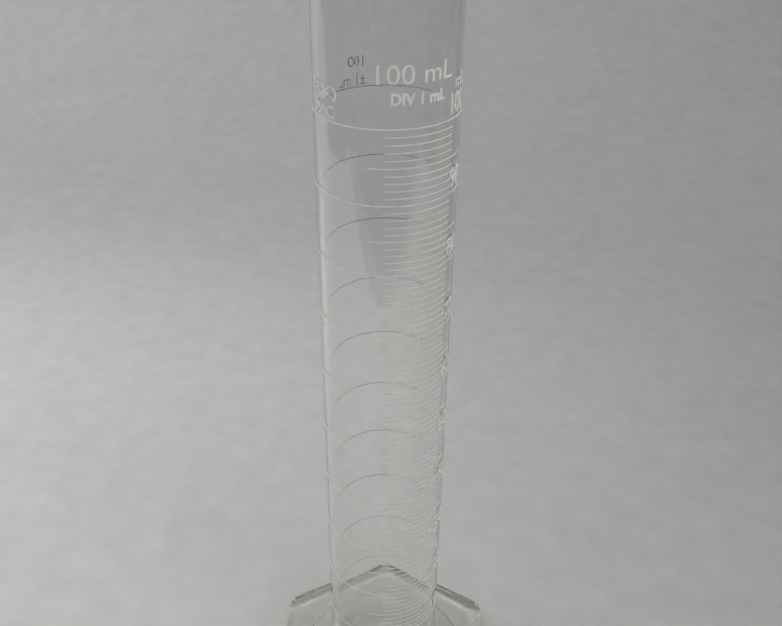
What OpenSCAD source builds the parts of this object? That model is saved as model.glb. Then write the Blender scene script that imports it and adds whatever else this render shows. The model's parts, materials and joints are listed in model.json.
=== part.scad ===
// Graduated cylinder, 100 mL, with a fused hexagonal glass foot.
// A straight tube with a beaded rim and a pouring spout stands on a moulded foot.
// Fired white enamel carries the scale: a ring every 10 mL, a long line every 5 mL,
// a short line every 1 mL, and the numerals.
// The origin is at the centre of the foot's resting face, +Z is up, and -Y is the front.
// An azimuth is an angle about Z, counted from the front towards +X.

/* [Tube] */
// Outside diameter of the tube
tube_od = 30.8; // [24:0.1:34]
// Thickness of the tube's wall
wall = 1.35; // [1:0.05:1.6]
// Height of the rim above the table
total_h = 230; // [210:1:260]
// Height of the inside floor above the table
floor_z = 13; // [12:0.5:16]
// Radius of the outside corner at the tube's bottom
outer_corner = 5; // [4:0.5:6]
// Radius of the inside corner at the floor
inner_corner = 1.5; // [1:0.5:4]
// Radius of the bead round the rim
bead_r = 1.1; // [0.9:0.1:1.4]
// How far the bead stands out from the tube
bead_out = 0.55; // [0.3:0.05:0.8]

/* [Spout] */
// How far the spout's lip stands out from the tube
spout_reach = 5; // [3:0.5:7]
// Height over which the spout opens out
spout_h = 12; // [9:1:16]
// Radius of the spout's lip, seen from above
spout_r = 7.5; // [6:0.5:8]
// Azimuth of the spout
spout_az = -50; // [-180:5:180]

/* [Foot] */
// Width of the foot across its flats
foot_w = 61; // [56:0.5:70]
// Height of the foot's edge
foot_edge = 6.2; // [4:0.2:7]
// Radius of the foot's upright corners
foot_corner = 4; // [2:0.5:8]
// Radius of the circle where the foot's top starts to rise
dome_r = 26.8; // [24:0.2:27]
// Height of the small step at that circle
dome_step = 0.5; // [0.3:0.1:1]
// Radius of the neck where the foot meets the tube
neck_r = 9.5; // [8:0.5:10]
// Radius of the hollow under the foot
recess_r = 24; // [15:0.5:26]
// Depth of the hollow under the foot
recess_d = 0.8; // [0.4:0.1:1.5]

/* [Grip ribs] */
// Number of moulded ribs at each corner of the foot
rib_count = 5; // [3:2:7]
// Width of a rib
rib_w = 0.6; // [0.4:0.1:0.8]
// Length of a rib
rib_l = 1.6; // [1:0.2:2]
// How far a rib stands up
rib_h = 0.3; // [0.2:0.1:0.5]

/* [Scale] */
// Thickness of the enamel
enamel = 0.08; // [0.05:0.01:0.15]
// Thickness of a line, up and down
line_t = 0.24; // [0.2:0.01:0.4]
// Azimuth where the 10 mL rings start, beyond the gap at the back right
ring_from = -221; // [-270:1:-190]
// Azimuth where the 10 mL rings end
ring_to = 82; // [75:1:85]
// Azimuth where the 1 mL lines start
one_from = 0; // [-10:1:10]
// Azimuth where the 1 mL lines end
one_to = 61; // [40:1:61]
// Azimuth where the 5 mL lines start
five_from = -13; // [-30:1:-5]
// Azimuth where the 5 mL lines end
five_to = 72.5; // [64:0.5:80]

/* [Lettering] */
// Height of a numeral
numeral_h = 4.3; // [3:0.1:5]
// Width of a glyph against its height
glyph_ratio = 0.5; // [0.45:0.01:0.6]
// Gap between a line and the numeral above it
numeral_gap = 1; // [0.6:0.1:2]
// Azimuth of a two-figure numeral's left edge
numeral_az = 60.5; // [60:0.5:75]
// Thickness of a thin stroke against the glyph's height
thin = 0.095; // [0.08:0.005:0.12]
// Thickness of a bold stroke against the glyph's height
bold = 0.16; // [0.13:0.01:0.18]

/* [Hidden] */
capacity = 100;
decade = 10;
facets = 48;
bead_facets = 16;
arc_steps = 10;
degrees_per_radian = 180 / PI;

tube_r = tube_od / 2;
bore_r = tube_r - wall;
millimetres_per_millilitre = 1000 / (PI * bore_r * bore_r);
neck_z = floor_z - 2 * wall;
// the dome's arc is level at dome_r and passes through the neck's edge
dome_z = foot_edge + dome_step;
dome_h = neck_z - dome_z;
dome_arc = (pow(dome_r - neck_r, 2) + pow(dome_h, 2)) / (2 * dome_h);
spout_x = tube_r + spout_reach - spout_r;
spout_root_r = tube_r - spout_x - 0.5;
corner_r = (foot_w / 2 - foot_corner) / cos(30);
rib_ring_r = 29;
rib_pitch = 3.6;
glyph_pitch = 1.28;

tens = [for (v = [decade : decade : capacity]) v];
lower_tens = [for (v = [decade : decade : capacity - decade]) v];

// Height of the scale at a volume in millilitres
function level(v) = floor_z + v * millimetres_per_millilitre;

// ---- glass ----

// Half outline of a round-cornered vessel, from the axis out to r and from z up to top
module vessel_outline(r, z, corner, top) {
    translate([0, z + corner]) square([r, top - z - corner]);
    translate([0, z]) square([r - corner, corner + 1]);
    translate([r - corner, z + corner]) intersection() {
        circle(corner, $fn = facets);
        translate([0, -corner]) square([corner, corner]);
    }
}

// Round bead whose outside radius is r
module bead_outline(r) {
    translate([r + bead_out - bead_r, total_h - bead_r]) circle(bead_r, $fn = bead_facets);
}

module straight_tube() {
    rotate_extrude($fn = facets) difference() {
        union() {
            vessel_outline(tube_r, neck_z, outer_corner, total_h - bead_r);
            bead_outline(tube_r);
        }
        vessel_outline(bore_r, floor_z, inner_corner, total_h + 1);
    }
}

// Cone with a beaded lip, leaning out of the tube and open towards it
module spout_shell() {
    difference() {
        translate([spout_x, 0]) {
            translate([0, 0, total_h - spout_h])
                cylinder(spout_h - bead_r, spout_root_r, spout_r, $fn = facets);
            rotate_extrude($fn = facets) bead_outline(spout_r);
        }
        translate([0, 0, total_h - spout_h - 1]) cylinder(spout_h + 2, r = tube_r - wall / 2, $fn = facets);
    }
}

module spout_channel() {
    translate([spout_x, 0, total_h - spout_h])
        cylinder(spout_h + 1, spout_root_r - wall, spout_r - wall + 0.2, $fn = facets);
}

module tube() {
    color("lightcyan", 0.5) difference() {
        union() {
            straight_tube();
            rotate(spout_az - 90) spout_shell();
        }
        rotate(spout_az - 90) spout_channel();
    }
}

// Hexagon with round corners, one corner pointing along Y
module foot_outline() {
    polygon([for (i = [0 : 5], side = [-30, 30])
        corner_r * [cos(60 * i + 30), sin(60 * i + 30)]
        + foot_corner * [cos(60 * i + 30 + side), sin(60 * i + 30 + side)]]);
    for (i = [0 : 5]) rotate(60 * i + 30) translate([corner_r, 0]) circle(foot_corner, $fn = facets);
}

module foot_dome() {
    rotate_extrude($fn = facets) difference() {
        square([dome_r, neck_z]);
        translate([dome_r, dome_z + dome_arc]) circle(dome_arc, $fn = facets);
    }
}

// Short upright ribs in a row across a corner
module corner_ribs() {
    for (k = [-(rib_count - 1) / 2 : (rib_count - 1) / 2])
        rotate(k * rib_pitch) translate([rib_ring_r, -rib_w / 2, foot_edge - 1])
            cube([rib_l, rib_w, 1 + rib_h]);
}

module foot() {
    color("lightcyan", 0.5) difference() {
        union() {
            linear_extrude(foot_edge) foot_outline();
            foot_dome();
            for (i = [0 : 5]) rotate(60 * i + 30) corner_ribs();
        }
        translate([0, 0, -1]) cylinder(1 + recess_d, r = recess_r, $fn = facets);
    }
}

// ---- scale lines ----

// Shell all round the tube, as thick as the enamel and of height h
module enamel_shell(h) {
    difference() {
        cylinder(h, r = tube_r + enamel, $fn = facets);
        translate([0, 0, -1]) cylinder(h + 2, r = tube_r, $fn = facets);
    }
}

module scale_line(v, from, to) {
    color("white") rotate(from - 90) rotate_extrude(angle = to - from, $fn = facets)
        translate([tube_r, level(v) - line_t / 2]) square([enamel, line_t]);
}

module scale_ring(v) scale_line(v, ring_from, ring_to);

module one_lines(v) {
    for (k = [1 : 9]) if (k != 5) scale_line(v + k, one_from, one_to);
}

// ---- lettering: each glyph stands on the origin in a cell of width w and height h ----

// Straight stroke of thickness t from p to q, run on by half its thickness at both ends
module bar(p, q, t) {
    run = q - p;
    translate(p) rotate(atan2(run[1], run[0])) translate([-t / 2, -t / 2]) square([norm(run) + t, t]);
}

// Curved stroke of thickness t round c, whose middle line is an ellipse of radii r
module bend(c, r, from, to, t) {
    steps = ceil(arc_steps * abs(to - from) / 180);
    angles = [for (i = [0 : steps]) from + (to - from) * i / steps];
    function at(a, side) = c + [(r[0] + side * t / 2) * cos(a), (r[1] + side * t / 2) * sin(a)];
    polygon(concat([for (a = angles) at(a, 1)], [for (i = [steps : -1 : 0]) at(angles[i], -1)]));
}

// Closed curve, in two halves
module loop(c, r, t) {
    bend(c, r, 0, 180, t);
    bend(c, r, 180, 360, t);
}

module digit_zero(w, h, t) loop([w / 2, h / 2], [(w - t) / 2, (h - t) / 2], t);

module digit_one(w, h, t) {
    bar([w * 0.55, t / 2], [w * 0.55, h - t / 2], t);
    bar([w * 0.55, h - t / 2], [w * 0.22, h * 0.78], t);
}

module digit_two(w, h, t) {
    bend([w / 2, h * 0.7], [(w - t) / 2, h * 0.3 - t / 2], -35, 170, t);
    bar([w * 0.83, h * 0.56], [t / 2, t / 2], t);
    bar([t / 2, t / 2], [w - t / 2, t / 2], t);
}

module digit_three(w, h, t) {
    bend([w / 2, h * 0.745], [w * 0.42 - t / 2, h * 0.255 - t / 2], -88, 155, t);
    bend([w / 2, h * 0.27 + t / 4], [(w - t) / 2, h * 0.27 - t / 4], -155, 88, t);
}

module digit_four(w, h, t) {
    bar([w * 0.7, t / 2], [w * 0.7, h - t / 2], t);
    bar([w * 0.7, h - t / 2], [t / 2, h * 0.3], t);
    bar([t / 2, h * 0.3], [w - t / 2, h * 0.3], t);
}

module digit_five(w, h, t) {
    bend([w / 2, h * 0.32], [(w - t) / 2, h * 0.32 - t / 2], -150, 140, t);
    bar([w * 0.14, h * 0.5], [w * 0.2, h - t / 2], t);
    bar([w * 0.2, h - t / 2], [w * 0.88, h - t / 2], t);
}

module digit_six(w, h, t) {
    loop([w / 2, h * 0.31], [(w - t) / 2, h * 0.31 - t / 2], t);
    bend([w * 0.9, h * 0.31], [w * 0.9 - t / 2, h * 0.69 - t / 2], 100, 180, t);
}

module digit_seven(w, h, t) {
    bar([t / 2, h - t / 2], [w - t / 2, h - t / 2], t);
    bar([w - t / 2, h - t / 2], [w * 0.33, t / 2], t);
}

module digit_eight(w, h, t) {
    loop([w / 2, h * 0.27 + t / 4], [(w - t) / 2, h * 0.27 - t / 4], t);
    loop([w / 2, h * 0.77], [w * 0.44 - t / 2, h * 0.23 - t / 4], t);
}

module digit_nine(w, h, t) translate([w, h]) rotate(180) digit_six(w, h, t);

module letter_m(w, h, t) {
    bar([t / 2, t / 2], [t / 2, h * 0.62], t);
    for (side = [0, 1]) translate([side * (w - t) / 2, 0]) {
        bend([(w + t) / 4, h * 0.48], [(w - t) / 4, h * 0.17], 0, 180, t);
        bar([w / 2, t / 2], [w / 2, h * 0.46], t);
    }
}

module letter_l(w, h, t) {
    bar([t / 2, t / 2], [t / 2, h - t / 2], t);
    bar([t / 2, t / 2], [w * 0.9, t / 2], t);
}

module letter_d(w, h, t) {
    bar([t / 2, t / 2], [t / 2, h - t / 2], t);
    bend([t / 2, h / 2], [w - t, (h - t) / 2], -90, 90, t);
}

module letter_i(w, h, t) bar([w / 2, t / 2], [w / 2, h - t / 2], t);

module letter_v(w, h, t) {
    for (x = [t / 2, w - t / 2]) bar([x, h - t / 2], [w / 2, t / 2], t);
}

module letter_e(w, h, t) {
    bar([t / 2, t / 2], [t / 2, h - t / 2], t);
    for (y = [t / 2, h / 2, h - t / 2]) bar([t / 2, y], [w * 0.9, y], t);
}

module letter_x(w, h, t) {
    bar([t / 2, t / 2], [w - t / 2, h - t / 2], t);
    bar([t / 2, h - t / 2], [w - t / 2, t / 2], t);
}

module letter_c(w, h, t) bend([w / 2, h / 2], [(w - t) / 2, (h - t) / 2], 50, 310, t);

module bracket(w, h, t, side) {
    bend([w / 2 - side * w * 0.35, h / 2], [w * 0.45, h * 0.6], 90 - side * 35, 90 - side * 145, t);
}

module degree_sign(w, h, t) loop([w / 2, h * 0.8], [w * 0.28, w * 0.28], t);

module plus_minus_sign(w, h, t) {
    bar([t, t / 2], [w - t, t / 2], t);
    bar([t, h * 0.55], [w - t, h * 0.55], t);
    bar([w / 2, h * 0.32], [w / 2, h * 0.78], t);
}

module glyph(c, w, h, t) {
    if (c == "0") digit_zero(w, h, t);
    if (c == "1") digit_one(w, h, t);
    if (c == "2") digit_two(w, h, t);
    if (c == "3") digit_three(w, h, t);
    if (c == "4") digit_four(w, h, t);
    if (c == "5") digit_five(w, h, t);
    if (c == "6") digit_six(w, h, t);
    if (c == "7") digit_seven(w, h, t);
    if (c == "8") digit_eight(w, h, t);
    if (c == "9") digit_nine(w, h, t);
    if (c == "m") letter_m(w, h, t);
    if (c == "L") letter_l(w, h, t);
    if (c == "D") letter_d(w, h, t);
    if (c == "I") letter_i(w, h, t);
    if (c == "V") letter_v(w, h, t);
    if (c == "E") letter_e(w, h, t);
    if (c == "X") letter_x(w, h, t);
    if (c == "C") letter_c(w, h, t);
    if (c == "(") bracket(w, h, t, -1);
    if (c == ")") bracket(w, h, t, 1);
    if (c == "°") degree_sign(w, h, t);
    if (c == "±") plus_minus_sign(w, h, t);
}

// A line of glyphs of height h on the tube, standing at z, with its left edge at azimuth az
module inscription(chars, az, z, h, stroke = thin) {
    w = h * glyph_ratio;
    color("white") intersection() {
        translate([0, 0, z - 1]) enamel_shell(h + 2);
        for (i = [0 : len(chars) - 1])
            rotate(az + (i * glyph_pitch + 0.5) * w / tube_r * degrees_per_radian)
                translate([-w / 2, 1 - tube_r, z]) rotate([90, 0, 0])
                    linear_extrude(2) glyph(chars[i], w, h, h * stroke);
    }
}

module numeral(v) {
    start = v < capacity ? numeral_az : numeral_az - 5;
    inscription(str(v), start, level(v) + line_t / 2 + numeral_gap, numeral_h);
}

module unit_mark() inscription("mL", numeral_az + 2.5, level(capacity) + 6.1, 2.7);

module capacity_mark() inscription("100 mL", -6, level(capacity) + 8.8, 4.2);

module division_mark() inscription("DIV 1 mL", 4, level(capacity) + 4.8, 2.3, bold);

module delivery_mark() inscription("(EX)", -68, level(capacity) + 4.8, 2.4);

module temperature_mark() inscription("20°C", -68, level(capacity) + 0.7, 2.6);

module tolerance_mark() {
    inscription("100", -157, level(capacity) + 4.6, 2.4);
    inscription("±1 mL", -159, level(capacity) + 0.5, 2.5);
}

tube();
foot();
for (v = tens) {
    scale_ring(v);
    numeral(v);
}
for (v = lower_tens) {
    scale_line(v + 5, five_from, five_to);
    one_lines(v);
}
unit_mark();
capacity_mark();
division_mark();
delivery_mark();
temperature_mark();
tolerance_mark();
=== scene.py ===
"""A 100 mL graduated cylinder: a glass tube fused to a hexagonal foot, with a fired enamel scale."""

import json
import math

import bmesh
import bpy
from mathutils import Matrix, Vector


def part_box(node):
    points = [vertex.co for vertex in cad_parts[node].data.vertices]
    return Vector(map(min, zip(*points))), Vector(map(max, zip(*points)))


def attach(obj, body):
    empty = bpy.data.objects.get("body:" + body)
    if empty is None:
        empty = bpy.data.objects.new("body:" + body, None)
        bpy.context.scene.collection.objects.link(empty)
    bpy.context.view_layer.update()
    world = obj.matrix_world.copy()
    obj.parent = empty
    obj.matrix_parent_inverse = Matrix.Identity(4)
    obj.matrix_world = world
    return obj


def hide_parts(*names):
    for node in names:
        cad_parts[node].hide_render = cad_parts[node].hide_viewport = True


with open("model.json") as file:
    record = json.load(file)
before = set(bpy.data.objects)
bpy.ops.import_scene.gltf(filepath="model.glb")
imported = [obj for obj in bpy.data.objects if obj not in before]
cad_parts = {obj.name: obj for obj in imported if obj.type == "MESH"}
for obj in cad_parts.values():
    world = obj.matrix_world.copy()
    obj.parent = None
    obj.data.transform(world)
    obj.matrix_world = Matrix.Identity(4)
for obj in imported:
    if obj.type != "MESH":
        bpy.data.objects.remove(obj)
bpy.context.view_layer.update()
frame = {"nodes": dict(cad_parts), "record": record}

MM = 0.001

# ---- sizes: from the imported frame, and the design's own where it holds none ----

MOUNTS = {m["name"]: m for m in frame["record"]["mounts"]}
TUBE_LOW, TUBE_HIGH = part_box("tube")
FOOT_LOW, FOOT_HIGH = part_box("foot")
BORE_R = MOUNTS["tube_bore"]["dims"]["r_mm"] * MM
WALL = 1.35 * MM
TUBE_R = BORE_R + WALL
NECK_Z = TUBE_LOW[2]
RIM_Z = TUBE_HIGH[2]
FLOOR_Z = NECK_Z + 2 * WALL
FOOT_WIDTH = FOOT_HIGH[0] - FOOT_LOW[0]
NECK_R = 9.5 * MM
ENAMEL = 0.08 * MM

ROUND = 240  # vertices round the glass
TENS = range(10, 101, 10)


def level(millilitres):
    """Height of a scale line."""
    low, high = (sum(b[2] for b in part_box(f"ring_{v}")) / 2 for v in (10, 100))
    return low + (high - low) * (millilitres - 10) / 90


def facing(azimuth):
    """Unit vector at an azimuth in degrees, counted from the front towards +X."""
    a = math.radians(azimuth)
    return Vector((math.sin(a), -math.cos(a), 0))


# ---- mesh work ----


def deselect():
    """Leaves nothing selected, because an operator acts on all that is."""
    for obj in bpy.context.selected_objects:
        obj.select_set(False)


def pick(obj, kind, test):
    """In edit mode, selects only the faces, edges or vertices that pass the test."""
    bpy.ops.mesh.select_mode(type=kind)
    bpy.ops.mesh.select_all(action="DESELECT")
    mesh = bmesh.from_edit_mesh(obj.data)
    for part in {"VERT": mesh.verts, "EDGE": mesh.edges, "FACE": mesh.faces}[kind]:
        if test(part):
            part.select = True
    mesh.select_flush_mode()
    bmesh.update_edit_mesh(obj.data)


def near(value, target):
    """True where two lengths are the same to 0.02 mm."""
    return abs(value - target) < 0.02 * MM


def arc(r, z, size, start, end, steps):
    """Points of an arc of the outline, round (r, z)."""
    angles = [math.radians(start + (end - start) * i / steps) for i in range(steps + 1)]
    return [(r + size * math.cos(a), z + size * math.sin(a)) for a in angles]


def follow(outline):
    """Extrudes the selected circle through the outline's points, (radius, height) each."""
    for (r0, z0), (r1, z1) in zip(outline, outline[1:]):
        bpy.ops.mesh.extrude_region_move(TRANSFORM_OT_translate={"value": (0, 0, z1 - z0)})
        bpy.ops.transform.resize(value=(r1 / r0, r1 / r0, 1), center_override=(0, 0, 0))


def finished(obj, name, finish, slot, *nodes):
    """Names a piece, puts its place in its mesh, smooths it and ties it to the frame."""
    obj.name = obj.data.name = name
    deselect()
    obj.select_set(True)
    bpy.context.view_layer.objects.active = obj
    bpy.ops.object.transform_apply(location=True, rotation=True, scale=True)
    bpy.ops.object.shade_smooth_by_angle(angle=math.radians(35))
    obj.data.materials.append(finish)
    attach(obj, "root")
    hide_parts(*nodes)
    return obj


# ---- materials ----


class Value:
    """What a node puts out. Sums and products of it add Math nodes."""

    def __init__(self, finish, socket):
        self.finish = finish
        self.socket = socket

    def __add__(self, other):
        return self.finish.maths("ADD", self, other)

    def __sub__(self, other):
        return self.finish.maths("SUBTRACT", self, other)

    def __rsub__(self, other):
        return self.finish.maths("SUBTRACT", other, self)

    def __mul__(self, other):
        return self.finish.maths("MULTIPLY", self, other)

    __radd__ = __add__
    __rmul__ = __mul__


class Finish:
    """A material round one Principled shader, and the nodes that feed it."""

    def __init__(self, name, **settings):
        self.material = bpy.data.materials.new(name)
        self.material.use_nodes = True
        self.tree = self.material.node_tree
        self.surface = self.tree.nodes["Principled BSDF"]
        self.place = self.add("ShaderNodeTexCoord", output="Object")
        for socket, value in settings.items():
            self.set(socket.replace("_", " "), value)

    def put(self, socket, value):
        """Links a Value to any node's socket, or writes a constant there."""
        if isinstance(value, Value):
            self.tree.links.new(value.socket, socket)
        else:
            socket.default_value = value

    def set(self, name, value):
        """Feeds one of the Principled shader's own sockets."""
        self.put(self.surface.inputs[name], value)

    def add(self, kind, settings=None, inputs=None, output=0):
        """Adds a node with its settings first, then what goes into it."""
        node = self.tree.nodes.new(kind)
        for key, value in (settings or {}).items():
            setattr(node, key, value)
        for key, value in (inputs or {}).items():
            self.put(node.inputs[key], value)
        return Value(self, node.outputs[output])

    def maths(self, operation, *values):
        return self.add("ShaderNodeMath", {"operation": operation}, dict(enumerate(values)))

    def noise(self, scale, detail, stretch=(1, 1, 1)):
        """Noise from 0 to 1 in the object's own space, drawn out where stretch is under 1."""
        placed = self.add("ShaderNodeMapping", {}, {"Vector": self.place, "Scale": stretch})
        return self.add("ShaderNodeTexNoise", {}, {"Vector": placed, "Scale": scale, "Detail": detail})

    def ramp(self, value, *stops):
        """Greys between two stops, (position, grey) each."""
        node = self.tree.nodes.new("ShaderNodeValToRGB")
        self.put(node.inputs[0], value)
        for element, (position, grey) in zip(node.color_ramp.elements, stops):
            element.position = position
            element.color = (grey, grey, grey, 1)
        return Value(self, node.outputs[0])

    def span(self, axis, start, end, ease="SMOOTHSTEP"):
        """Rises from 0 to 1 between two places along an axis of the object's own space."""
        parts = self.add("ShaderNodeSeparateXYZ", {}, {"Vector": self.place}, output=axis)
        return self.add(
            "ShaderNodeMapRange",
            {"interpolation_type": ease},
            {"Value": parts, "From Min": start, "From Max": end},
        )

    def mix_colour(self, factor, first, second):
        """The first colour where the factor is 0 and the second where it is 1."""
        return self.add(
            "ShaderNodeMix",
            {"data_type": "RGBA"},
            {"Factor": factor, 6: (*first, 1), 7: (*second, 1)},
            output=2,
        )

    def mix_shader(self, factor, first, second):
        """Shows the first shader where the factor is 0 and the second where it is 1."""
        mixed = self.add("ShaderNodeMixShader", {}, {0: factor, 1: first, 2: second})
        self.put(self.tree.nodes["Material Output"].inputs["Surface"], mixed)

    def clear_weld(self):
        """Hides the plane at the neck, where the tube and the foot are one glass."""
        height = self.add("ShaderNodeSeparateXYZ", {}, {"Vector": self.place}, output="Z")
        weld = self.maths("COMPARE", height, NECK_Z, 0.01 * MM)
        clear = self.add("ShaderNodeBsdfTransparent")
        self.mix_shader(weld, Value(self, self.surface.outputs[0]), clear)

    def bump(self, height, distance):
        """Raises the surface by up to a distance where the height is 1."""
        self.set("Normal", self.add("ShaderNodeBump", {}, {"Height": height, "Distance": distance}))


GLASS_IOR = 1.47


def drawn_glass():
    """Borosilicate tube: fine lines along its length from drawing, and a few faint smears."""
    glass = Finish("drawn glass", Transmission_Weight=1.0, IOR=GLASS_IOR)
    draw_lines = glass.noise(700, 2.0, stretch=(1, 1, 0.012))
    waves = glass.noise(60, 1.0, stretch=(1, 1, 0.15))
    glass.bump(draw_lines * 0.35 + waves, 0.00004)
    smears = glass.ramp(glass.noise(90, 5.0, stretch=(1, 1, 0.35)), (0.52, 0.0), (0.8, 0.05))
    glass.set("Roughness", smears)
    glass.set("Base Color", glass.mix_colour(waves, (0.955, 0.96, 0.955), (0.97, 0.974, 0.97)))
    glass.clear_weld()
    return glass.material


def pressed_glass():
    """Moulded foot: a wavy chilled skin and a slightly olive body."""
    glass = Finish("pressed glass", Transmission_Weight=1.0, IOR=GLASS_IOR)
    chill = glass.noise(140, 3.0)
    swell = glass.noise(35, 1.0)
    glass.bump(chill * 0.3 + swell, 0.00012)
    glass.set("Roughness", glass.ramp(glass.noise(220, 4.0), (0.5, 0.0), (0.85, 0.06)))
    glass.set("Base Color", glass.mix_colour(swell, (0.99, 0.992, 0.988), (0.995, 0.996, 0.992)))
    glass.clear_weld()
    body = glass.add("ShaderNodeVolumeAbsorption", {}, {"Color": (0.45, 0.5, 0.27, 1), "Density": 10})
    glass.put(glass.tree.nodes["Material Output"].inputs["Volume"], body)
    return glass.material


def fired_enamel():
    """White ceramic print: a fine grain, with thin spots where the screen left less."""
    enamel = Finish("fired enamel", IOR=1.5)
    grain = enamel.noise(2500, 3.0)
    cover = enamel.noise(420, 4.0)
    enamel.set("Base Color", enamel.mix_colour(cover, (0.72, 0.74, 0.71), (0.88, 0.89, 0.86)))
    enamel.set("Roughness", grain * 0.25 + 0.35)
    enamel.bump(grain, 0.00001)
    return enamel.material


# Painted shade and light on the paper: its level at the left edge, and how far it falls or rises from
# there.
PAINTED_SHADE_LEFT = 1.42
PAINTED_SHADE_FALL = 0.88  # to the right
PAINTED_SHADE_BACK_FALL = 0.54  # to the back, on the left
PAINTED_LIGHT_BACK_RIGHT_RISE = 0.675  # what the back gains again on the right
PAINTED_LIGHT_NEAR_RISE = 0.45  # in front of the object
PAPER_GREY = 0.558  # the paper itself, before its clouds and creases


def pale_paper():
    """Matt paper with painted shade: it falls off to the right and to the back, has a painted pool of
    light in front of the object, and has faint clouds and creases.
    """
    paper = Finish("pale paper", Roughness=0.9)
    across = paper.span("X", -0.3, 0.3, "LINEAR")
    back = paper.span("Y", 0.12, 0.36)
    # painted pool of light: the paper is made lighter just in front of the object
    front = 1 - paper.span("Y", -0.09, -0.01)
    # painted shade: darker to the right and to the back, lighter again at the back on the right
    shade = PAINTED_SHADE_LEFT - across * PAINTED_SHADE_FALL - back * PAINTED_SHADE_BACK_FALL + across * back * PAINTED_LIGHT_BACK_RIGHT_RISE
    shade = shade * (front * PAINTED_LIGHT_NEAR_RISE + 1)
    clouds = paper.noise(100, 5.0)
    creases = paper.noise(16, 3.0, stretch=(1, 1.6, 1))
    tone = shade * (clouds * 0.14 + creases * 0.045 + PAPER_GREY)
    paper.set("Base Color", paper.mix_colour(tone, (0, 0, 0), (1.0, 0.997, 0.98)))
    paper.bump(creases + clouds * 0.2, 0.003)
    return paper.material


def bench_laminate():
    """Grey bench top that the paper lies on, mottled and fairly matt. Its dark grey is painted shade:
    it stands in for the shade in front of the object, which the glass reflects.
    """
    laminate = Finish("bench laminate", Roughness=0.6)
    speckle = laminate.noise(90, 4.0)
    laminate.set("Base Color", laminate.mix_colour(speckle, (0.14, 0.14, 0.14), (0.19, 0.19, 0.187)))
    return laminate.material


TUBE_GLASS = drawn_glass()
FOOT_GLASS = pressed_glass()
ENAMEL_WHITE = fired_enamel()

# ---- tube ----

OUTER_CORNER = 5 * MM
INNER_CORNER = 1.5 * MM
BEAD_R = 1.1 * MM
BEAD_OUT = 0.55 * MM
SPOUT_AZIMUTH = -50
SPOUT_REACH = 4.6 * MM
SPOUT_DROP = 0.5 * MM
SPOUT_SPREAD = 11 * MM
SPOUT_WIDTH = 5  # degrees to either side that are pulled out whole
SPOUT_STEPS = 14
SPOUT_MARGIN = 2 * MM  # the rings that let the wall bend start this far below the spout
BEAD_GAP = 1.2 * MM  # and they end this far below the middle of the bead
BEAD_START = -60  # degrees at which the bead leaves the tube's side


def tube_outline():
    """From the weld at the bottom, up the outside, over the bead and down the bore to the floor."""
    bead_r = TUBE_R + BEAD_OUT - BEAD_R
    bead_z = RIM_Z - BEAD_R
    bead_in = math.degrees(math.acos((BORE_R - bead_r) / BEAD_R))
    spout_low = RIM_Z - SPOUT_SPREAD - SPOUT_MARGIN
    under_bead = bead_z - BEAD_GAP
    rise = [spout_low + (under_bead - spout_low) * i / SPOUT_STEPS for i in range(SPOUT_STEPS + 1)]
    return [
        (NECK_R, NECK_Z),
        *arc(TUBE_R - OUTER_CORNER, NECK_Z + OUTER_CORNER, OUTER_CORNER, -90, 0, 16),
        *[(TUBE_R, z) for z in rise],
        *arc(bead_r, bead_z, BEAD_R, BEAD_START, bead_in, 16),
        *[(BORE_R, z) for z in reversed(rise)],
        *arc(BORE_R - INNER_CORNER, FLOOR_Z + INNER_CORNER, INNER_CORNER, 0, -90, 14),
    ]


def make_tube():
    """Turned from its outline as one closed wall, then pulled out at the rim into the spout."""
    deselect()
    bpy.ops.mesh.primitive_circle_add(
        vertices=ROUND, radius=NECK_R, fill_type="NGON", location=(0, 0, NECK_Z)
    )
    tube = bpy.context.object
    bpy.ops.object.transform_apply(location=True)
    bpy.ops.object.mode_set(mode="EDIT")
    pick(tube, "EDGE", lambda edge: True)
    follow(tube_outline())
    bpy.ops.mesh.edge_face_add()
    pick(tube, "VERT", on_lip)
    bpy.ops.transform.translate(
        value=facing(SPOUT_AZIMUTH) * SPOUT_REACH + Vector((0, 0, -SPOUT_DROP)),
        use_proportional_edit=True,
        proportional_edit_falloff="SMOOTH",
        proportional_size=SPOUT_SPREAD,
    )
    bpy.ops.mesh.select_all(action="SELECT")
    bpy.ops.mesh.normals_make_consistent(inside=False)
    bpy.ops.object.mode_set(mode="OBJECT")
    return finished(tube, "glass_tube", TUBE_GLASS, "tube_glass", "tube")


def on_lip(vertex):
    """True on the rim's bead at the spout's azimuth."""
    away = vertex.co.xy.normalized().dot(facing(SPOUT_AZIMUTH).xy)
    return vertex.co.z > RIM_Z - 2 * BEAD_R and away > math.cos(math.radians(SPOUT_WIDTH))


# ---- foot ----

CORNERS = 6
FOOT_EDGE = 6.2 * MM
FOOT_CORNER = 4 * MM
TOP_ROUNDING = 2 * MM
LOW_ROUNDING = 3 * MM
DOME_R = 26.8 * MM
DOME_STEP = 0.5 * MM
DOME_START = -91.5  # degrees: the hollow arc starts just inside the step
RECESS_R = 24 * MM
RECESS_D = 0.8 * MM
PLATE_MARGIN = 0.3 * MM


def dome_outline():
    """From the plate up the small step, then along a hollow arc to the neck."""
    base = FOOT_EDGE + DOME_STEP
    rise = NECK_Z - base
    run = DOME_R - NECK_R
    size = (run * run + rise * rise) / (2 * rise)
    reach = math.degrees(math.asin(run / size))
    edge = DOME_STEP / 2
    return [
        *arc(DOME_R + edge, FOOT_EDGE + edge, edge, -90, -180, 4),
        *arc(DOME_R - edge, FOOT_EDGE + edge, edge, 0, 90, 4),
        *arc(DOME_R, base + size, size, DOME_START, -90 - reach, 28),
    ]


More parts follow.
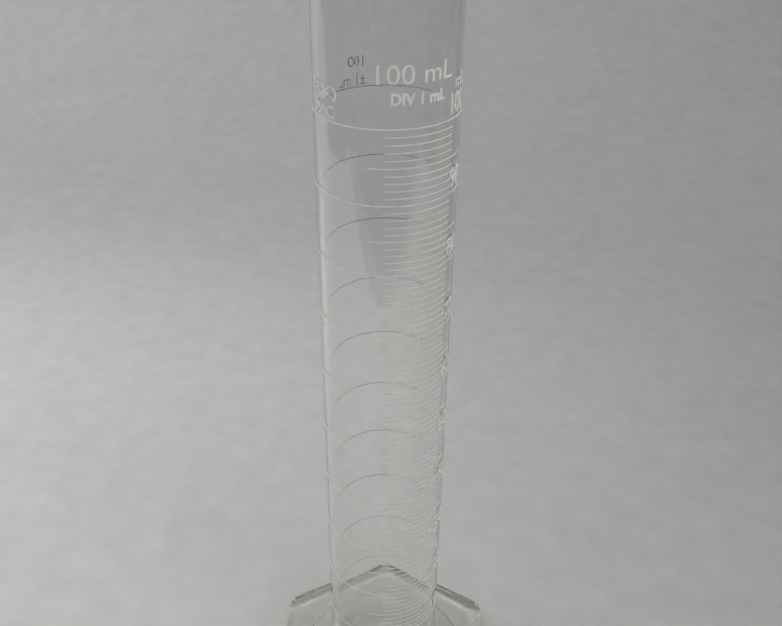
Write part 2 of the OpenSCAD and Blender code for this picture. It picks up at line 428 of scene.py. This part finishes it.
def make_foot():
    """A hexagon with rounded corners and edges, a turned dome on it and a turned hollow under it."""
    deselect()
    bpy.ops.mesh.primitive_cylinder_add(
        vertices=CORNERS,
        radius=FOOT_WIDTH / 2 / math.cos(math.pi / 6),
        depth=FOOT_EDGE,
        location=(0, 0, FOOT_EDGE / 2),
    )
    foot = bpy.context.object
    bpy.ops.object.transform_apply(location=True)
    bpy.ops.object.mode_set(mode="EDIT")
    pick(foot, "EDGE", lambda e: abs(e.verts[0].co.z - e.verts[1].co.z) > FOOT_EDGE / 2)
    bpy.ops.mesh.bevel(offset=FOOT_CORNER * math.tan(math.pi / 6), segments=12, affect="EDGES")
    for z, rounding in ((FOOT_EDGE, TOP_ROUNDING), (0, LOW_ROUNDING)):
        pick(foot, "EDGE", lambda e: all(near(v.co.z, z) for v in e.verts))
        bpy.ops.mesh.bevel(offset=rounding, segments=8, affect="EDGES")
        pick(foot, "FACE", lambda f: abs(f.normal.z) > 0.999 and near(f.calc_center_median().z, z))
        bpy.ops.mesh.inset(thickness=PLATE_MARGIN)
        bpy.ops.mesh.delete(type="ONLY_FACE")
    turn_into_plate(foot, FOOT_EDGE, dome_outline())
    turn_into_plate(foot, 0, arc(RECESS_R - RECESS_D, 0, RECESS_D, 0, 90, 5))
    bpy.ops.mesh.select_all(action="SELECT")
    bpy.ops.mesh.normals_make_consistent(inside=False)
    bpy.ops.object.mode_set(mode="OBJECT")
    raise_ribs(foot)
    return finished(foot, "glass_foot", FOOT_GLASS, "foot_glass", "foot")


def turn_into_plate(foot, z, outline):
    """Fills the open hexagon at height z with a turned form, whose outline starts on that level."""
    bpy.ops.mesh.select_mode(type="EDGE")
    bpy.ops.mesh.primitive_circle_add(vertices=ROUND, radius=outline[0][0], location=(0, 0, z))
    follow(outline)
    bpy.ops.mesh.edge_face_add()
    pick(foot, "EDGE", lambda e: e.is_boundary and all(near(v.co.z, z) for v in e.verts))
    bpy.ops.mesh.fill(use_beauty=True)


RIB_COUNT = 5
RIB_PITCH = 3.6  # degrees between ribs
RIB_ROUNDING = 0.2 * MM
RIB_SIZE = Vector((1.6, 0.6, 0.6)) * MM
RIB_RING = 29.8 * MM


def raise_ribs(foot):
    """Short moulded ribs at each corner: one is made, copied round, and joined into the foot."""
    deselect()
    bpy.ops.mesh.primitive_cube_add(size=1, location=(RIB_RING, 0, FOOT_EDGE))
    rib = bpy.context.object
    rib.scale = RIB_SIZE
    bpy.ops.object.transform_apply(location=True, scale=True)
    bpy.ops.object.mode_set(mode="EDIT")
    bpy.ops.mesh.select_all(action="SELECT")
    bpy.ops.mesh.bevel(offset=RIB_ROUNDING, segments=3, affect="EDGES")
    bpy.ops.object.mode_set(mode="OBJECT")
    copies = []
    for corner in range(CORNERS):
        middle = 30 + 60 * corner
        for k in range(RIB_COUNT):
            turn = math.radians(middle + (k - (RIB_COUNT - 1) / 2) * RIB_PITCH)
            copy = rib.copy()
            copy.data = rib.data.copy()
            copy.data.transform(Matrix.Rotation(turn, 4, "Z"))
            bpy.context.collection.objects.link(copy)
            copies.append(copy)
    deselect()
    for copy in copies:
        copy.select_set(True)
    bpy.context.view_layer.objects.active = copies[0]
    bpy.ops.object.join()
    ribs = copies[0]
    bpy.data.objects.remove(rib)
    deselect()
    foot.select_set(True)
    bpy.context.view_layer.objects.active = foot
    join = foot.modifiers.new("ribs", "BOOLEAN")
    join.operation = "UNION"
    join.object = ribs
    bpy.ops.object.modifier_apply(modifier=join.name)
    bpy.data.objects.remove(ribs)


# ---- lettering ----

CAPITAL = 0.73  # height of a capital in the font's own size
STRIP = 0.4 * MM  # width of the strips that let a flat letter bend
SUNK = 0.02 * MM  # how far the back of the print reaches into the glass


def lettering(name, words, height, azimuths, z, node, bold):
    """Enamel print wrapped round the tube, standing at z, from one azimuth to another."""
    deselect()
    bpy.ops.object.text_add()
    text = bpy.context.object
    text.data.body = words
    text.data.size = height / CAPITAL
    text.data.offset = bold * height
    text.data.extrude = ENAMEL / 2
    text.data.resolution_u = 5
    bpy.ops.object.convert(target="MESH")
    print_ = bpy.context.object
    bpy.ops.object.mode_set(mode="EDIT")
    bpy.ops.mesh.select_all(action="SELECT")
    bpy.ops.mesh.remove_doubles(threshold=0.001 * MM)
    left, right = (side(v.co.x for v in print_.data.vertices) for side in (min, max))
    cut = left + STRIP
    while cut < right:
        bpy.ops.mesh.select_all(action="SELECT")
        bpy.ops.mesh.bisect(plane_co=(cut, 0, 0), plane_no=(1, 0, 0))
        cut += STRIP
    bpy.ops.object.mode_set(mode="OBJECT")
    for vertex in print_.data.vertices:
        along = (vertex.co.x - left) / (right - left)
        depth = TUBE_R + (ENAMEL if vertex.co.z > 0 else -SUNK)
        out = facing(azimuths[0] + (azimuths[1] - azimuths[0]) * along) * depth
        vertex.co = out + Vector((0, 0, z + vertex.co.y))
    return finished(print_, name, ENAMEL_WHITE, "enamel", node)


NUMERAL_HEIGHT = 4.3 * MM
NUMERAL_RISE = 1.1 * MM
NUMERAL_BOLD = 0.02
INSCRIPTIONS = (
    # piece, words, height in mm, azimuths, mm above the top line, node, boldness
    ("print_unit", "mL", 2.7, (63, 81), 6.1, "unit_mark", 0.01),
    ("print_capacity", "100 mL", 3.9, (-6, 55.5), 8.8, "capacity_mark", 0),
    ("print_division", "DIV 1 mL", 2.3, (4, 48.7), 4.85, "division_mark", 0.05),
    ("print_delivery", "(EX)", 2.3, (-74, -37.7), 4.8, "delivery_mark", 0),
    ("print_temperature", "20°C", 2.6, (-69.4, -40.7), 0.7, "temperature_mark", 0),
    ("print_tolerance", "±1 mL", 2.6, (-158.8, -132), 0.5, "tolerance_mark", 0),
    ("print_tolerance_at", "100", 2.4, (-157, -142), 4.6, "tolerance_mark", 0),
)


def make_lettering():
    """The numerals beside the scale and the inscriptions above it."""
    for v in TENS:
        azimuths = (57, 79.5) if v == 100 else (60.3, 79.5)
        z = level(v) + NUMERAL_RISE
        lettering(f"print_{v}", str(v), NUMERAL_HEIGHT, azimuths, z, f"numeral_{v}", NUMERAL_BOLD)
    for name, words, height, azimuths, rise, node, bold in INSCRIPTIONS:
        lettering(name, words, height * MM, azimuths, level(100) + rise * MM, node, bold)


def coat_scale():
    """Gives the scale's rings and lines, which keep their CAD shape, the enamel's finish."""
    for name in frame["nodes"]:
        if name.startswith(("ring_", "line_", "lines_")):
            node = bpy.data.objects[name]
            node.data.materials.clear()
            node.data.materials.append(ENAMEL_WHITE)


make_tube()
make_foot()
make_lettering()
coat_scale()

# ---- floor, light and camera ----

CAMERA_TURN = 1.7  # this and the three angles below are in degrees
CAMERA_DISTANCE = 180 * MM
CAMERA_HEIGHT = 231.55 * MM
CAMERA_DOWN = 30.875
CAMERA_YAW = 0.408
CAMERA_ROLL = 0.609
CAMERA_LENS = 40.71


def make_camera():
    """Looks down at the object from the front, a little turned round its axis."""
    data = bpy.data.cameras.new("camera")
    data.lens = CAMERA_LENS
    data.sensor_width = 36
    data.clip_start = 0.01
    data.clip_end = 20
    camera = bpy.data.objects.new("camera", data)
    bpy.context.collection.objects.link(camera)
    camera.matrix_world = (
        Matrix.Rotation(math.radians(CAMERA_TURN), 4, "Z")
        @ Matrix.Translation((0, -CAMERA_DISTANCE, CAMERA_HEIGHT))
        @ Matrix.Rotation(math.radians(-CAMERA_YAW), 4, "Z")
        @ Matrix.Rotation(math.radians(90 - CAMERA_DOWN), 4, "X")
        @ Matrix.Rotation(math.radians(CAMERA_ROLL), 4, "Z")
    )
    bpy.context.scene.camera = camera


PAPER_Z = -0.1 * MM  # a hair under the foot
PAPER_FRONT = -0.23
PAPER_SIDE = 0.4
WIDE_FROM = 0.1
WIDER = 1.8  # how many times wider the paper is behind than in front
SWEEP_START = 0.25
SWEEP_R = 0.5
SWEEP_TURN = 72  # degrees
SWEEP_STEPS = 24
PAPER_TOP = (0, 0.3, 1)  # the last straight stretch
BENCH_SIZE = 12
BENCH_Z = -4 * MM


def make_floor():
    """Paper that lies flat under the object and sweeps up behind it, on a darker bench whose dark grey
    is painted shade in front of the paper.
    """
    deselect()
    bpy.ops.mesh.primitive_plane_add(size=1, location=(0, 0, PAPER_Z))
    paper = bpy.context.object
    paper.name = "paper_sweep"
    bpy.ops.object.mode_set(mode="EDIT")
    bpy.ops.transform.resize(value=(2 * PAPER_SIDE, WIDE_FROM - PAPER_FRONT, 1))
    bpy.ops.transform.translate(value=(0, (WIDE_FROM + PAPER_FRONT) / 2, 0))
    pick(paper, "EDGE", lambda e: all(v.co.y > 0 for v in e.verts))
    bpy.ops.mesh.extrude_region_move(TRANSFORM_OT_translate={"value": (0, SWEEP_START - WIDE_FROM, 0)})
    bpy.ops.transform.resize(value=(WIDER, 1, 1), center_override=(0, 0, 0))
    turn = math.radians(SWEEP_TURN) / SWEEP_STEPS
    for i in range(SWEEP_STEPS):
        run, slope = SWEEP_R * turn, turn * (i + 0.5)
        bpy.ops.mesh.extrude_region_move(
            TRANSFORM_OT_translate={"value": (0, run * math.cos(slope), run * math.sin(slope))}
        )
    bpy.ops.mesh.extrude_region_move(TRANSFORM_OT_translate={"value": PAPER_TOP})
    bpy.ops.mesh.select_all(action="SELECT")
    bpy.ops.mesh.normals_make_consistent(inside=False)
    bpy.ops.object.mode_set(mode="OBJECT")
    bpy.ops.object.transform_apply(location=True)
    bpy.ops.object.shade_smooth()
    paper.data.materials.append(pale_paper())
    deselect()
    # the bench's dark grey is painted shade in front of the paper, seen in the glass
    bpy.ops.mesh.primitive_plane_add(size=BENCH_SIZE, location=(0, 0, BENCH_Z))
    bench = bpy.context.object
    bench.name = "bench_top"
    bench.data.materials.append(bench_laminate())


LIGHTS = (
    # name, place, aim, width and height, watts, spread in degrees
    ("overhead", (0, 0.1, 1.8), (0, 0, 0), (1.6, 1.2), 9.4, 180),
    ("high_left", (-0.9, 0.3, 0.8), (0, 0.1, 0), (0.8, 0.8), 2.2, 180),
    ("front_right", (0.9, -0.9, 0.5), (0, 0, 0.14), (0.8, 0.6), 2, 180),
    ("left_beam", (-1.2, -0.1, 0.33), (0, 0, 0.29), (0.8, 0.3), 0.11, 30),
    ("right_beam", (1.16, 0.31, 0.33), (0, 0, 0.29), (0.8, 0.3), 0.24, 30),
    ("paper_front", (0, -0.55, 0.4), (0, -0.2, 0), (0.9, 0.08), 0.1, 30),
    ("front_beam", (0.3, -1.25, 0.35), (0, 0, 0.3), (0.6, 0.3), 0.14, 30),
)
LOW_LIGHTS = 0.6  # the glass doesn't show the lights that stand lower than this


def soft_light(name, place, aim, size, power, spread):
    """Area light. A narrow spread is like a grid in front of it."""
    data = bpy.data.lights.new(name, "AREA")
    data.shape = "RECTANGLE"
    data.size, data.size_y = size
    data.energy = power
    data.spread = math.radians(spread)
    light = bpy.data.objects.new(name, data)
    light.location = place
    light.rotation_euler = (Vector(aim) - Vector(place)).to_track_quat("-Z", "Y").to_euler()
    light.visible_transmission = place[2] > LOW_LIGHTS
    bpy.context.collection.objects.link(light)


ROOM_WALLS = 0.18
ROOM_CEILING = 0.265
CEILING_FROM = 0.5  # upward part of a direction from which on it is all ceiling


def make_world():
    """An even grey room, a little brighter overhead."""
    world = bpy.data.worlds.new("room")
    world.use_nodes = True
    tree = world.node_tree
    way = tree.nodes.new("ShaderNodeTexCoord")
    split = tree.nodes.new("ShaderNodeSeparateXYZ")
    rise = tree.nodes.new("ShaderNodeMapRange")
    rise.interpolation_type = "SMOOTHSTEP"
    rise.inputs["From Max"].default_value = CEILING_FROM
    rise.inputs["To Min"].default_value = ROOM_WALLS
    rise.inputs["To Max"].default_value = ROOM_CEILING
    tree.links.new(way.outputs["Generated"], split.inputs[0])
    tree.links.new(split.outputs["Z"], rise.inputs["Value"])
    tree.links.new(rise.outputs[0], tree.nodes["Background"].inputs["Strength"])
    tree.nodes["Background"].inputs["Color"].default_value = (1.0, 1.0, 0.985, 1)
    bpy.context.scene.world = world


def follow_light_through_glass():
    """Lets a path cross and reflect in the glass often enough, because the foot traps light."""
    cycles = bpy.context.scene.cycles
    cycles.max_bounces = 32
    cycles.glossy_bounces = 16
    cycles.transmission_bounces = 24
    cycles.diffuse_bounces = 5
    cycles.blur_glossy = 0


make_camera()
make_floor()
make_world()
follow_light_through_glass()
for light in LIGHTS:
    soft_light(*light)
bpy.context.scene.view_settings.view_transform = "Standard"
